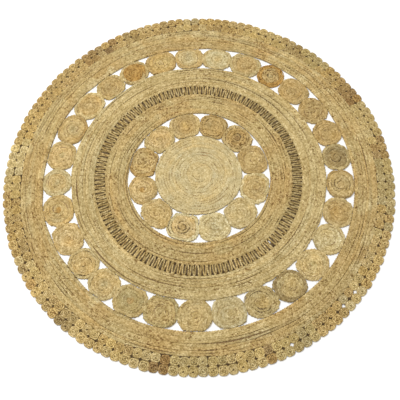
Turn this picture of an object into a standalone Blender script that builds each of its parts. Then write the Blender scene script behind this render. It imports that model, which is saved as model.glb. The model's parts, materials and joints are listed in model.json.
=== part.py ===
"""Round openwork jute rug, lying flat.

A braided centre disc, two rings of coiled braid, three braided bands, a zigzag of thin cord between
two of the bands, and a border of small scrolls. Metres, +Z up. The origin is on the floor under the
middle of the rug, and -Y is its front edge.
"""

import math
import random
from collections import namedtuple

import bmesh
import bpy

# Driving dimensions, in metres. Radii are measured before the rug is made uneven.
SEAM = 0.0003                   # between pieces that are sewn to each other
BRAID_THICKNESS = 0.010
DISC_RADIUS = 0.1680
INNER_BAND_OUTSIDE = 0.3610
MIDDLE_BAND_INSIDE = 0.4020
MIDDLE_BAND_OUTSIDE = 0.4905
OUTER_BAND_OUTSIDE = 0.6850
RUG_RADIUS = 0.7500             # to the tips of the scrolls

# Soft edge of every braided piece: how far the foot and the top draw in from the widest line.
EDGE_FOOT_INSET = 0.0015
EDGE_TOP_INSET = 0.0025
EDGE_WIDEST_HEIGHT = BRAID_THICKNESS / 2
SHARP_EDGE_DEGREES = 50

# Sides of the round outlines.
DISC_SIDES = 48
COIL_SIDES = 24
BAND_SIDES_PER_INNER_COIL = 5
BAND_SIDES_PER_OUTER_COIL = 3
MIDDLE_BAND_SIDES = 72

# Zigzag cord.
ZIGZAG_STROKE_PAIRS = 108
CORD_WIDTH = 0.0055
CORD_THICKNESS = 0.0060
TURN_HALF_WIDTH = 0.0034        # half of the blunt end where the cord turns back

# Border of scrolls.
SCROLLS_PER_ROW = 136
SCROLL_CROWN_HEIGHT = 0.0075
SCROLL_RIM_HEIGHT = 0.0050
PIT_HEIGHT = 0.0015             # the dark corner where four scrolls meet
SCROLL_SEWN_HALF_LENGTH = 0.0048    # along the radius, where it is sewn to the scroll beside it
SCROLL_WAIST_HALF_WIDTH = 0.0052    # round the rug, where it is sewn to the other row or the band
SCROLL_SHOULDER_ACROSS = 0.0104     # the corner between its tip and its side
SCROLL_SHOULDER_DROP = 0.0034
SCROLL_TIP_UNEVENNESS = 0.0009
SCROLL_SEED = 11

# The rug was pulled a little out of round: cycles per turn, share of the radius, direction of a peak.
Pull = namedtuple("Pull", "cycles share peak_degrees")
PULLS = (
    Pull(2, 0.0016, 84),
    Pull(3, 0.0046, -27),
    Pull(5, 0.0018, 20),
)

# Coils in order, clockwise from the top, in millimetres. Breadth runs along the ring and sets each
# coil's share of it; depth runs across the ring.
Coil = namedtuple("Coil", "breadth_mm depth_mm tone")
INNER_FIRST_DEGREES = 102.6
INNER_COILS = (
    Coil(118, 104, "honey"),
    Coil(109, 104, "umber"),
    Coil(111, 104, "umber"),
    Coil(116, 105, "honey"),
    Coil(120, 108, "straw"),
    Coil(116, 110, "straw"),
    Coil(113, 108, "straw"),
    Coil(115, 108, "honey"),
    Coil(114, 107, "straw"),
    Coil(111, 106, "honey"),
    Coil(122, 101, "umber"),
    Coil(119, 99, "straw"),
)
OUTER_FIRST_DEGREES = 92.8
OUTER_COILS = (
    Coil(118, 98, "straw"),
    Coil(117, 101, "straw"),
    Coil(126, 105, "honey"),
    Coil(112, 106, "umber"),
    Coil(123, 108, "honey"),
    Coil(118, 107, "straw"),
    Coil(110, 105, "honey"),
    Coil(112, 106, "olive"),
    Coil(120, 108, "umber"),
    Coil(116, 108, "honey"),
    Coil(115, 109, "straw"),
    Coil(116, 109, "straw"),
    Coil(118, 107, "olive"),
    Coil(120, 107, "olive"),
    Coil(122, 108, "straw"),
    Coil(120, 109, "straw"),
    Coil(119, 108, "olive"),
    Coil(115, 107, "straw"),
    Coil(111, 105, "straw"),
    Coil(110, 103, "honey"),
    Coil(121, 108, "honey"),
    Coil(123, 112, "straw"),
    Coil(110, 108, "honey"),
    Coil(121, 107, "straw"),
    Coil(125, 109, "olive"),
    Coil(126, 108, "honey"),
    Coil(120, 104, "straw"),
    Coil(118, 104, "umber"),
    Coil(124, 102, "honey"),
)
# Share of the way from one coil to the next in which the band's edge steps from one's depth to the other's.
STEP_FROM = 0.3
STEP_TO = 0.7
# Radius of a coil's corners, where nothing presses it, as a share of half its breadth.
INNER_CORNER_SHARE = 1.115
OUTER_CORNER_SHARE = 1.085

# Jute tones as linear colour.
TONES = {
    "pale": (0.62, 0.50, 0.26),
    "straw": (0.52, 0.40, 0.18),
    "honey": (0.49, 0.33, 0.13),
    "umber": (0.38, 0.25, 0.10),
    "olive": (0.40, 0.32, 0.14),
}
JUTE_ROUGHNESS = 0.85


def clear_scene():
    for leftover in list(bpy.data.objects):
        bpy.data.objects.remove(leftover)


def jute_material(name, tone):
    material = bpy.data.materials.new(name)
    material.use_nodes = True
    shader = material.node_tree.nodes["Principled BSDF"]
    shader.inputs["Base Color"].default_value = (*TONES[tone], 1.0)
    shader.inputs["Roughness"].default_value = JUTE_ROUGHNESS
    shader.inputs["Metallic"].default_value = 0.0
    return material


def pulled(angle):
    """Factor on a radius in this direction, which takes the plan a little out of round."""
    return 1 + sum(
        pull.share * math.cos(pull.cycles * (angle - math.radians(pull.peak_degrees)))
        for pull in PULLS
    )


def make_uneven(mesh):
    for vertex in mesh.verts:
        factor = pulled(math.atan2(vertex.co.y, vertex.co.x))
        vertex.co.x *= factor
        vertex.co.y *= factor


def finish(name, mesh, tone):
    """Turns the bmesh into a shaded object of its own, with its own material."""
    make_uneven(mesh)
    bmesh.ops.recalc_face_normals(mesh, faces=mesh.faces)
    data = bpy.data.meshes.new(name)
    mesh.to_mesh(data)
    mesh.free()
    data.shade_smooth()
    data.set_sharp_from_angle(angle=math.radians(SHARP_EDGE_DEGREES))
    data.materials.append(jute_material(name + "_jute", tone))
    made = bpy.data.objects.new(name, data)
    bpy.context.scene.collection.objects.link(made)
    return made


def at(mesh, radius, angle, height):
    return mesh.verts.new((radius * math.cos(angle), radius * math.sin(angle), height))


def join_loops(mesh, lower, upper):
    """Side faces between two closed loops with equally many points."""
    count = len(lower)
    for index in range(count):
        after = (index + 1) % count
        mesh.faces.new((lower[index], lower[after], upper[after], upper[index]))


# Coils and the disc

CoilPlace = namedtuple("CoilPlace", "radius angle half_sweep half_depth corner_radius")


def place_coils(inside, first_degrees, coils, corner_share):
    """Shares the turn out among the coils of a ring by their breadth."""
    whole = sum(coil.breadth_mm for coil in coils)
    places = []
    angle = math.radians(first_degrees)
    for coil, following in zip(coils, coils[1:] + coils[:1]):
        half_depth = coil.depth_mm / 2000
        half_sweep = math.pi * coil.breadth_mm / whole
        radius = inside + SEAM + half_depth
        corner_radius = corner_share * radius * half_sweep
        places.append(CoilPlace(radius, angle, half_sweep, half_depth, corner_radius))
        angle -= half_sweep + math.pi * following.breadth_mm / whole
    return places


def coil_reach(place, turn, inset, band_sides):
    """From a coil's middle to its edge. The turn is measured from straight outward.

    A coil is round, but lies flat against its neighbours, the ring inside it and the band round it.
    """
    outward = math.cos(turn)
    along = abs(math.sin(turn))
    reaches = [place.corner_radius - inset]
    if outward < 0:
        reaches.append((place.half_depth - inset) / -outward)
    nearing = along * math.cos(place.half_sweep) - outward * math.sin(place.half_sweep)
    if nearing > 0:
        seam = place.radius * math.sin(place.half_sweep) - SEAM / 2
        reaches.append((seam - inset) / nearing)
    flat_of_band = math.cos(math.pi / band_sides)
    top = (place.radius + place.half_depth) * flat_of_band - inset
    ahead = place.radius * outward
    reaches.append(math.sqrt(ahead**2 - place.radius**2 + top**2) - ahead)
    return min(reaches)


def coil_outline(place, inset, band_sides):
    outline = []
    for side in range(COIL_SIDES):
        turn = 2 * math.pi * side / COIL_SIDES
        reach = coil_reach(place, turn, inset, band_sides)
        x = place.radius * math.cos(place.angle) + reach * math.cos(place.angle + turn)
        y = place.radius * math.sin(place.angle) + reach * math.sin(place.angle + turn)
        outline.append((x, y))
    return outline


def disc_outline(inset):
    outline = []
    for side in range(DISC_SIDES):
        turn = 2 * math.pi * side / DISC_SIDES
        reach = DISC_RADIUS - inset
        outline.append((reach * math.cos(turn), reach * math.sin(turn)))
    return outline


def build_pad(name, outline_at, tone):
    """A flat pad of wound braid with soft edges. outline_at gives its outline, drawn in by an inset."""
    mesh = bmesh.new()
    foot = [mesh.verts.new((x, y, 0.0)) for x, y in outline_at(EDGE_FOOT_INSET)]
    middle = [mesh.verts.new((x, y, EDGE_WIDEST_HEIGHT)) for x, y in outline_at(0.0)]
    top = [mesh.verts.new((x, y, BRAID_THICKNESS)) for x, y in outline_at(EDGE_TOP_INSET)]
    join_loops(mesh, foot, middle)
    join_loops(mesh, middle, top)
    mesh.faces.new(foot[::-1])
    mesh.faces.new(top)
    return finish(name, mesh, tone)


def build_coils(prefix, places, coils, sides_per_coil):
    band_sides = sides_per_coil * len(coils)
    for number, (place, coil) in enumerate(zip(places, coils), start=1):
        build_pad(
            f"{prefix}_{number:02d}",
            lambda inset, place=place: coil_outline(place, inset, band_sides),
            coil.tone,
        )


# Bands


def build_band(name, stations, tone):
    """A ring of braid from stations (angle, inside radius, outside radius) in order round the rug."""
    mesh = bmesh.new()
    loops = [[] for _ in range(6)]
    for angle, inside, outside in stations:
        section = (
            (inside + EDGE_FOOT_INSET, 0.0),
            (inside, EDGE_WIDEST_HEIGHT),
            (inside + EDGE_TOP_INSET, BRAID_THICKNESS),
            (outside - EDGE_TOP_INSET, BRAID_THICKNESS),
            (outside, EDGE_WIDEST_HEIGHT),
            (outside - EDGE_FOOT_INSET, 0.0),
        )
        for loop, (radius, height) in zip(loops, section):
            loop.append(at(mesh, radius, angle, height))
    for lower, upper in zip(loops, loops[1:] + loops[:1]):
        join_loops(mesh, lower, upper)
    return finish(name, mesh, tone)


def stations_round_coils(places, sides_per_coil, outside):
    """Stations whose inside touches every coil, with an eased run from each coil to the next."""
    stations = []
    for place, following in zip(places, places[1:] + places[:1]):
        sweep = (place.angle - following.angle) % (2 * math.pi)
        here = place.radius + place.half_depth + SEAM
        there = following.radius + following.half_depth + SEAM
        for side in range(sides_per_coil):
            share = side / sides_per_coil
            step = min(max((share - STEP_FROM) / (STEP_TO - STEP_FROM), 0.0), 1.0)
            eased = step * step * (3 - 2 * step)
            inside = here + eased * (there - here)
            stations.append((place.angle - share * sweep, inside, outside))
    return stations


def build_middle_band():
    """The flat sides of its inside edge lie on its circle, so that the zigzag clears them."""
    inside = MIDDLE_BAND_INSIDE / math.cos(math.pi / MIDDLE_BAND_SIDES)
    stations = []
    for side in range(MIDDLE_BAND_SIDES):
        angle = 2 * math.pi * side / MIDDLE_BAND_SIDES
        stations.append((angle, inside, MIDDLE_BAND_OUTSIDE))
    build_band("middle_band", stations, "straw")


# Zigzag cord


def prism_between(mesh, plan_faces, height):
    """Closes a flat plan of faces, given as loops of (radius, angle), into a prism on the floor."""
    feet = {}
    tops = {}
    for face in plan_faces:
        for corner in face:
            if corner not in feet:
                feet[corner] = at(mesh, *corner, 0.0)
                tops[corner] = at(mesh, *corner, height)
    edges = {}
    for face in plan_faces:
        mesh.faces.new([tops[corner] for corner in face])
        mesh.faces.new([feet[corner] for corner in reversed(face)])
        for start, end in zip(face, face[1:] + face[:1]):
            edges[(start, end)] = (end, start)
    for (start, end), back in edges.items():
        if back not in edges:
            mesh.faces.new((feet[start], feet[end], tops[end], tops[start]))


def build_zigzag():
    """Strokes of cord from band to band, with a blunt turn at each end."""
    inside = INNER_BAND_OUTSIDE + SEAM
    outside = MIDDLE_BAND_INSIDE - SEAM
    step = math.pi / ZIGZAG_STROKE_PAIRS
    run = step * (inside + outside) / 2
    lean = math.atan2(run - 2 * TURN_HALF_WIDTH + CORD_WIDTH, outside - inside)
    notch = CORD_WIDTH / math.sin(lean) - TURN_HALF_WIDTH / math.tan(lean)
    outer_turn = TURN_HALF_WIDTH / outside
    inner_turn = TURN_HALF_WIDTH / inside
    faces = []
    for pair in range(ZIGZAG_STROKE_PAIRS):
        outer = 2 * pair * step
        inner = outer + step
        following = (2 * (pair + 1) % (2 * ZIGZAG_STROKE_PAIRS)) * step
        outer_left = (outside, outer - outer_turn)
        outer_right = (outside, outer + outer_turn)
        outer_notch = (outside - notch, outer)
        inner_left = (inside, inner - inner_turn)
        inner_right = (inside, inner + inner_turn)
        inner_notch = (inside + notch, inner)
        next_left = (outside, following - outer_turn)
        next_notch = (outside - notch, following)
        faces.append([outer_right, outer_left, outer_notch])
        faces.append([outer_right, outer_notch, inner_left, inner_notch])
        faces.append([inner_notch, inner_left, inner_right])
        faces.append([inner_notch, inner_right, next_notch, next_left])
    mesh = bmesh.new()
    prism_between(mesh, faces, CORD_THICKNESS)
    finish("zigzag_cord", mesh, "olive")


# Border of scrolls


def side_spots(mesh, radii, angle):
    """Points on the line between two neighbouring scrolls of each row."""
    inside, inner_centre, middle, outer_centre = radii
    half = SCROLL_SEWN_HALF_LENGTH
    return {
        "outer_high": at(mesh, outer_centre + half, angle, SCROLL_RIM_HEIGHT),
        "outer_low": at(mesh, outer_centre - half, angle, SCROLL_RIM_HEIGHT),
        "inner_high": at(mesh, inner_centre + half, angle, SCROLL_RIM_HEIGHT),
        "inner_low": at(mesh, inner_centre - half, angle, SCROLL_RIM_HEIGHT),
        "pit": at(mesh, middle, angle, PIT_HEIGHT),
        "root_pit": at(mesh, inside, angle, PIT_HEIGHT),
        "outer_foot": at(mesh, outer_centre + half, angle, 0.0),
        "root_foot": at(mesh, inside, angle, 0.0),
    }


def scroll_spots(mesh, radii, tip, angle):
    """Points of one scroll of each row: its crown, and where its rim meets the air and its neighbours."""
    inside, inner_centre, middle, outer_centre = radii
    spots = {
        "outer_crown": at(mesh, outer_centre, angle, SCROLL_CROWN_HEIGHT),
        "inner_crown": at(mesh, inner_centre, angle, SCROLL_CROWN_HEIGHT),
        "tip": at(mesh, tip, angle, SCROLL_RIM_HEIGHT),
        "tip_foot": at(mesh, tip, angle, 0.0),
    }
    for hand, sign in (("left", -1), ("right", 1)):
        shoulder = tip - SCROLL_SHOULDER_DROP
        out_there = angle + sign * SCROLL_SHOULDER_ACROSS / shoulder
        in_the_middle = angle + sign * SCROLL_WAIST_HALF_WIDTH / middle
        at_the_band = angle + sign * SCROLL_WAIST_HALF_WIDTH / inside
        spots["shoulder_" + hand] = at(mesh, shoulder, out_there, SCROLL_RIM_HEIGHT)
        spots["shoulder_foot_" + hand] = at(mesh, shoulder, out_there, 0.0)
        spots["waist_" + hand] = at(mesh, middle, in_the_middle, SCROLL_RIM_HEIGHT)
        spots["root_" + hand] = at(mesh, inside, at_the_band, SCROLL_RIM_HEIGHT)
        spots["root_foot_" + hand] = at(mesh, inside, at_the_band, 0.0)
    return spots


def fan(mesh, middle, rim):
    for start, end in zip(rim, rim[1:] + rim[:1]):
        mesh.faces.new((middle, start, end))


def wall(mesh, tops, feet):
    for index in range(len(tops) - 1):
        mesh.faces.new((tops[index], tops[index + 1], feet[index + 1], feet[index]))


def build_border():
    """Two rows of low round scrolls, grown together where they are sewn, with a pit at each corner."""
    chance = random.Random(SCROLL_SEED)
    inside = OUTER_BAND_OUTSIDE + SEAM
    middle = (inside + RUG_RADIUS) / 2
    radii = (inside, (inside + middle) / 2, middle, (middle + RUG_RADIUS) / 2)
    pitch = 2 * math.pi / SCROLLS_PER_ROW
    mesh = bmesh.new()
    sides = []
    scrolls = []
    for number in range(SCROLLS_PER_ROW):
        tip = RUG_RADIUS - abs(chance.gauss(0.0, SCROLL_TIP_UNEVENNESS))
        scrolls.append(scroll_spots(mesh, radii, tip, number * pitch))
        sides.append(side_spots(mesh, radii, (number + 0.5) * pitch))
    for number, scroll in enumerate(scrolls):
        left = sides[number - 1]
        right = sides[number]
        following = scrolls[(number + 1) % SCROLLS_PER_ROW]
        fan(mesh, scroll["outer_crown"], (
            scroll["shoulder_left"], scroll["tip"], scroll["shoulder_right"],
            right["outer_high"], right["outer_low"], scroll["waist_right"],
            scroll["waist_left"], left["outer_low"], left["outer_high"],
        ))
        fan(mesh, scroll["inner_crown"], (
            scroll["waist_left"], scroll["waist_right"], right["inner_high"], right["inner_low"],
            scroll["root_right"], scroll["root_left"], left["inner_low"], left["inner_high"],
        ))
        fan(mesh, right["pit"], (
            right["outer_low"], following["waist_left"], right["inner_high"], scroll["waist_right"],
        ))
        mesh.faces.new((right["root_pit"], scroll["root_right"], right["inner_low"]))
        mesh.faces.new((right["root_pit"], right["inner_low"], following["root_left"]))
        outer_feet = (
            left["outer_foot"], scroll["shoulder_foot_left"], scroll["tip_foot"],
            scroll["shoulder_foot_right"], right["outer_foot"],
        )
        root_feet = (
            left["root_foot"], scroll["root_foot_left"], scroll["root_foot_right"], right["root_foot"],
        )
        wall(mesh, (
            left["outer_high"], scroll["shoulder_left"], scroll["tip"],
            scroll["shoulder_right"], right["outer_high"],
        ), outer_feet)
        wall(mesh, (
            left["root_pit"], scroll["root_left"], scroll["root_right"], right["root_pit"],
        ), root_feet)
        mesh.faces.new(outer_feet + root_feet[::-1])
    finish("scroll_border", mesh, "olive")


def main():
    clear_scene()
    build_pad("centre_disc", disc_outline, "pale")
    inner_places = place_coils(
        DISC_RADIUS, INNER_FIRST_DEGREES, INNER_COILS, INNER_CORNER_SHARE
    )
    build_coils("inner_coil", inner_places, INNER_COILS, BAND_SIDES_PER_INNER_COIL)
    inner_stations = stations_round_coils(inner_places, BAND_SIDES_PER_INNER_COIL, INNER_BAND_OUTSIDE)
    build_band("inner_band", inner_stations, "straw")
    build_zigzag()
    build_middle_band()
    outer_places = place_coils(
        MIDDLE_BAND_OUTSIDE, OUTER_FIRST_DEGREES, OUTER_COILS, OUTER_CORNER_SHARE
    )
    build_coils("outer_coil", outer_places, OUTER_COILS, BAND_SIDES_PER_OUTER_COIL)
    outer_stations = stations_round_coils(outer_places, BAND_SIDES_PER_OUTER_COIL, OUTER_BAND_OUTSIDE)
    build_band("outer_band", outer_stations, "straw")
    build_border()


main()
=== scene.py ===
import bisect
import json
import math
import random

import bmesh
import bpy
from mathutils import Matrix, Vector, noise


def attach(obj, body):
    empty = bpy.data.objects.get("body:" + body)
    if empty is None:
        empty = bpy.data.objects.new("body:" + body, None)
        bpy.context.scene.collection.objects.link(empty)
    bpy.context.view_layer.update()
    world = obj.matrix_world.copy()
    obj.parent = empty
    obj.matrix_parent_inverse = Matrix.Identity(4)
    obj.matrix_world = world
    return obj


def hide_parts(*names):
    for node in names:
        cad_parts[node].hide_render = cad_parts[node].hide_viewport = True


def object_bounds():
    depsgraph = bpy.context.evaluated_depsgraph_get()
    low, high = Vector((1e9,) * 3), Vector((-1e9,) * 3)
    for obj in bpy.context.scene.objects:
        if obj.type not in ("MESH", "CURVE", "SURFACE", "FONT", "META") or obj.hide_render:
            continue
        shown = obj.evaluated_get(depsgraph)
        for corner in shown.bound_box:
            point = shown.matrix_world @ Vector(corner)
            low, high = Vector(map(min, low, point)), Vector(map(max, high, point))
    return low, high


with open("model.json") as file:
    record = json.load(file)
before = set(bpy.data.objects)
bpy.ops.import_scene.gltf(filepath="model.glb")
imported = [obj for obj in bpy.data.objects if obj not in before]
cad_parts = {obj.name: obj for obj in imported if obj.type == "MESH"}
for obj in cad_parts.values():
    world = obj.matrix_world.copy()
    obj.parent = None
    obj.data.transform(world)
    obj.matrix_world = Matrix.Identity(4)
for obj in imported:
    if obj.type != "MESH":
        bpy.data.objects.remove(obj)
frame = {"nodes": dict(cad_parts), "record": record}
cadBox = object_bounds()
packed = frame["nodes"]
slotOf = {part["node"]: part["material_slot"] for part in frame["record"]["subparts"]}
fullTurn = 2 * math.pi
print("frame loaded:", len(packed), "nodes")

# tones of the jute as they look under the studio light, 0 to 255
tones = {
    "cream": (192, 173, 125),
    "pale": (198, 180, 131),
    "straw": (191, 170, 119),
    "corn": (198, 171, 116),
    "wheat": (188, 163, 109),
    "sand": (182, 160, 108),
    "honey": (179, 152, 98),
    "gold": (190, 161, 100),
    "orange": (182, 148, 91),
    "caramel": (170, 143, 90),
    "amber": (174, 137, 74),
    "rust": (152, 122, 75),
    "russet": (130, 97, 56),
    "umber": (156, 133, 86),
    "olive": (169, 151, 102),
    "grey": (171, 155, 112),
}


def linearShare(value):
    # the usual curve between screen tones and light
    share = value / 255
    return share / 12.92 if share <= 0.04045 else ((share + 0.055) / 1.055) ** 2.4


linearTones = {name: Vector([linearShare(value) for value in tone]) for name, tone in tones.items()}


def mixTone(first, second, share):
    return first * (1 - share) + second * share


# small helpers for node trees

def addNode(tree, kind, inputs=None, settings=None, output=0):
    # a list of sockets goes into one input that takes many
    made = tree.nodes.new(kind)
    for key, value in (settings or {}).items():
        setattr(made, key, value)
    for key, value in (inputs or {}).items():
        for one in value if isinstance(value, list) else [value]:
            if isinstance(one, bpy.types.NodeSocket):
                tree.links.new(one, made.inputs[key])
            else:
                made.inputs[key].default_value = one
    return made.outputs[output]


def calc(tree, operation, first, second=0.0, third=0.0):
    return addNode(tree, "ShaderNodeMath", {0: first, 1: second, 2: third}, {"operation": operation})


def vectorCalc(tree, operation, inputs):
    return addNode(tree, "ShaderNodeVectorMath", inputs, {"operation": operation})


def vectorOf(tree, x, y, z):
    return addNode(tree, "ShaderNodeCombineXYZ", {"X": x, "Y": y, "Z": z})


def partsOf(tree, vector):
    return addNode(tree, "ShaderNodeSeparateXYZ", {0: vector}).node.outputs


def mapped(tree, value, fromMin, fromMax, toMin, toMax):
    return addNode(tree, "ShaderNodeMapRange", {
        "Value": value, "From Min": fromMin, "From Max": fromMax, "To Min": toMin, "To Max": toMax})


def noiseOf(tree, vector, scale, detail, roughness=0.5):
    return addNode(tree, "ShaderNodeTexNoise", {
        "Vector": vector, "Scale": scale, "Detail": detail, "Roughness": roughness})


def storeAttribute(tree, geometry, name, kind, value):
    return addNode(tree, "GeometryNodeStoreNamedAttribute", {
        "Geometry": geometry, "Name": name, "Value": value}, {"data_type": kind, "domain": "POINT"})


def readAttribute(tree, name, kind="FLOAT"):
    return addNode(tree, "GeometryNodeInputNamedAttribute", {"Name": name}, {"data_type": kind})


def shownAttribute(tree, name, output):
    return addNode(tree, "ShaderNodeAttribute", None, {"attribute_name": name}, output)


def newTree(name, values, keys):
    # one named input for each key, set to the piece's own value
    tree = bpy.data.node_groups.new(name, "GeometryNodeTree")
    tree.interface.new_socket("geometry", in_out="INPUT", socket_type="NodeSocketGeometry")
    tree.interface.new_socket("geometry", in_out="OUTPUT", socket_type="NodeSocketGeometry")
    for key in keys:
        socket = tree.interface.new_socket(key, in_out="INPUT", socket_type="NodeSocketFloat")
        socket.default_value = values.get(key, 0.0)
    tree.interface.new_socket("material", in_out="INPUT", socket_type="NodeSocketMaterial")
    return tree, tree.nodes.new("NodeGroupInput").outputs


def runTree(piece, tree, values, material):
    # sets the inputs by identifier, then swaps the modifier for a plain mesh
    values = dict(values, material=material)
    modifier = piece.modifiers.new(tree.name, "NODES")
    modifier.node_group = tree
    for item in tree.interface.items_tree:
        if item.in_out == "INPUT" and item.name in values:
            modifier[item.identifier] = values[item.name]
    graph = bpy.context.evaluated_depsgraph_get()
    made = bpy.data.meshes.new_from_object(piece.evaluated_get(graph))
    piece.modifiers.remove(modifier)
    piece.data = made
    made.name = piece.name
    made.materials.clear()
    made.materials.append(material)
    made.polygons.foreach_set("material_index", [0] * len(made.polygons))


def addObject(name, data):
    made = bpy.data.objects.new(name, data)
    bpy.context.scene.collection.objects.link(made)
    return made


def meshObject(name, points, edges=(), faces=()):
    data = bpy.data.meshes.new(name)
    data.from_pydata(points, edges, faces)
    return addObject(name, data)


def setAttribute(data, name, kind, values):
    # one number, vector or colour for each point, all in one list
    field = {"FLOAT": "value", "FLOAT_VECTOR": "vector", "FLOAT_COLOR": "color"}[kind]
    data.attributes.new(name, kind, "POINT").data.foreach_set(field, values)


def sewIn(piece, node):
    # the finished piece takes the place of its solid
    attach(piece, "root")
    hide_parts(node)


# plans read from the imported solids

halfHeight = (cadBox[0].z + cadBox[1].z) / 2
levelGap = 0.0004             # points this near to a height count as lying at it


def plainPoints(name, height):
    near = [v.co for v in packed[name].data.vertices if abs(v.co.z - height) < levelGap]
    return sorted({(round(co.x, 6), round(co.y, 6)) for co in near})


class Edge:
    # a closed edge round a middle: its radius at any angle
    def __init__(self, spots):
        spots = sorted(spots)
        (first, firstRadius), (last, lastRadius) = spots[0], spots[-1]
        self.spots = [(last - fullTurn, lastRadius), *spots, (first + fullTurn, firstRadius)]
        self.angles = [angle for angle, _ in self.spots]

    def radius(self, angle):
        angle = (angle + math.pi) % fullTurn - math.pi
        after = min(max(bisect.bisect(self.angles, angle), 1), len(self.spots) - 1)
        (low, here), (high, there) = self.spots[after - 1], self.spots[after]
        return here + (there - here) * (angle - low) / max(high - low, 1e-9)


def polar(x, y):
    return math.atan2(y, x), math.hypot(x, y)


def spotAt(radius, angle):
    return Vector((radius * math.cos(angle), radius * math.sin(angle)))


def degreesOf(angle):
    return (math.degrees(angle) + 180) % 360 - 180


def ringEdges(name):
    # inside and outside edge of a packed ring
    byAngle = {}
    for x, y in plainPoints(name, halfHeight):
        angle, radius = polar(x, y)
        byAngle.setdefault(round(angle, 3), []).append((angle, radius))
    inside = [min(spots, key=lambda spot: spot[1]) for spots in byAngle.values()]
    outside = [max(spots, key=lambda spot: spot[1]) for spots in byAngle.values()]
    return Edge(inside), Edge(outside)


def padPlan(name):
    # middle of a packed disc or coil, and its edge round that middle
    points = [Vector(point) for point in plainPoints(name, halfHeight)]
    centre = sum(points, Vector((0, 0))) / len(points)
    return centre, Edge([polar(*(point - centre)) for point in points])


# winding: the braid's centreline through a disc, coil or band

winding = {
    "pathSpacing": 0.004,     # between the points of the centreline
    "leastPoints": 18,        # of those in a turn
    "leastRound": 0.02,       # length that the smallest turn counts as
    "lookAhead": 0.01,        # radians, to measure the length of a turn
    "startApart": 40,         # metres, so that no two braids stray alike
    # sideways stray and change of breadth: lane of the noise, how much, over what length, and layer
    "wander": (3.3, 0.0030, 0.045, 0.4),
    "swell": (8.1, 0.60, 0.016, 0.4),
    "slowSwell": (5.6, 0.18, 0.060, 0.4),
}


def eased(share):
    share = min(max(share, 0.0), 1.0)
    return share * share * (3 - 2 * share)


def within(value, low, high, fade):
    return eased((value - low) / fade) * eased((high - value) / fade)


def changeAlong(length, lane, size, span, layer):
    return size * noise.noise((length / span, lane, layer))


def windBraid(place, values, startTurn, hand, looseAt):
    # place(angle, share) gives a point from the inside edge (0) to the outside edge (1);
    # looseAt(angle, share) gives how much narrower the braid is there, and how far it moves out of the gap
    rows = []
    turn = 0.0
    turns = values["turns"]
    while turn < turns + values["step"]:
        angle = fullTurn * (startTurn + hand * turn)
        reached = math.floor(turn) + eased(turn % 1 / values["step"])
        outer = min(reached, turns)
        inner = max(reached - 1, 0.0)
        share = (outer + inner) / 2 / turns
        point = place(angle, share)
        across = place(angle, outer / turns) - place(angle, inner / turns)
        breadth = across.length
        length = turn * turn * math.pi * breadth + winding["startApart"] * startTurn
        swell = 1 + changeAlong(length, *winding["swell"]) + changeAlong(length, *winding["slowSwell"])
        narrower, moved = looseAt(angle, share)
        aside = changeAlong(length, *winding["wander"]) + moved * breadth
        rows.append({"point": point + across.normalized() * aside, "share": share,
                     "breadth": breadth * swell * values["fullness"] * (1 - narrower)})
        ahead = place(angle + winding["lookAhead"], share)
        perTurn = max((ahead - point).length / winding["lookAhead"] * fullTurn, winding["leastRound"])
        turn += min(winding["pathSpacing"] / perTurn, 1 / winding["leastPoints"])
    return rows


def pathObject(name, rows, height):
    points = [(*row["point"], height) for row in rows]
    made = meshObject(name, points, [(i, i + 1) for i in range(len(points) - 1)])
    setAttribute(made.data, "breadth", "FLOAT", [row["breadth"] for row in rows])
    colours = [value for row in rows for value in (*row["tone"], 1.0)]
    setAttribute(made.data, "tone", "FLOAT_COLOR", colours)
    setAttribute(made.data, "flecks", "FLOAT", [row.get("flecks", 1.0) for row in rows])
    return made


# jute yarn

yarn = {
    "streakScale": 900.0,     # fibres side by side, per metre
    "streakStretch": 0.07,    # how much slower they change along the yarn
    "streakDepth": 0.50,
    "streakDetail": (3.0, 0.6),   # of the noise: detail and roughness
    "detail": 2.0,            # of the patches and the flecks
    "patchScale": 95.0,       # lengths of lighter and darker fibre, per metre
    "patchDepth": 0.95,
    "fleckScale": 85.0,
    "fleckPlace": (3.1, 5.7, 1.9),
    "fleckShape": (1.2, 2.0, 2.0),
    "fleckFrom": 0.565,
    "fleckTo": 0.65,
    "fleckDepth": 0.85,
    "fleckTone": (0.40, 0.30, 0.20),
    "twist": 90.0,            # radians a metre
    "plyGrooveShade": 0.0,          # painted shade: how much darker the groove between two plies is
    "plyBreadth": 0.6,        # below 1 the groove is narrower
    "plyHeight": 2.0,
    "darkest": 0.02,
    "warming": (1.0, 1.15, 1.65),   # how much faster than red each colour darkens
    "roughness": 0.86,
    "specular": 0.25,
    "bumpDistance": 0.0005,
    "bumpStrength": 0.6,
}
discYarn = dict(yarn, patchDepth=0.65, fleckDepth=0.4)
cordYarn = dict(yarn, twist=420.0, plyGrooveShade=0.45, fleckScale=115.0, fleckFrom=0.545, fleckTo=0.60,
                fleckTone=(0.34, 0.23, 0.13))
# the zigzag's strokes get painted shade down their sides
zigzagYarn = dict(cordYarn, plyGrooveShade=0.30, flankShade=0.10, flankFrom=0.0005, flankTo=0.0036)


def newMaterial(name, values):
    material = bpy.data.materials.new(name)
    material.use_nodes = True
    surface = material.node_tree.nodes["Principled BSDF"].inputs
    surface["Roughness"].default_value = values["roughness"]
    surface["Specular IOR Level"].default_value = values["specular"]
    return material, material.node_tree, surface


def addBump(tree, surface, values, height):
    bump = addNode(tree, "ShaderNodeBump", {
        "Strength": values["bumpStrength"], "Distance": values["bumpDistance"], "Height": height})
    tree.links.new(bump, surface["Normal"])


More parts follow.
